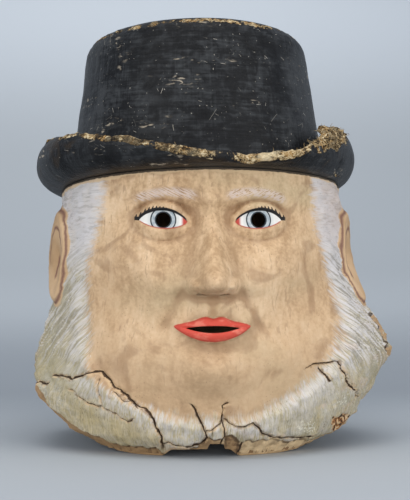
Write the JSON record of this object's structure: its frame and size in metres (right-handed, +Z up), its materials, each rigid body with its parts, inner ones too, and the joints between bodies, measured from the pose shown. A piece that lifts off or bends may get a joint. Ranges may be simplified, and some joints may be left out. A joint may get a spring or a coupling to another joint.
{
  "type": "papier-mache carnival mask",
  "caption": "Hollow full-head carnival mask of painted papier-mache: a calm face with white side whiskers and a fringe of beard under a black low top hat with a rolled brim.",
  "frame": {"origin": "under the middle of the mask's box, on the surface that the rim of its neck stands on", "axes": "+Z up through the crown of the hat, the face looks along -Y, +X to the right of someone looking at the face"},
  "size_m": [0.3739, 0.3812, 0.4319],
  "materials": {
    "painted_paper": "matte",
    "black_painted_paper": "satin"
  },
  "bodies": {
    "root": {"head": "painted_paper", "hat": "black_painted_paper"}
  },
  "joints": []
}
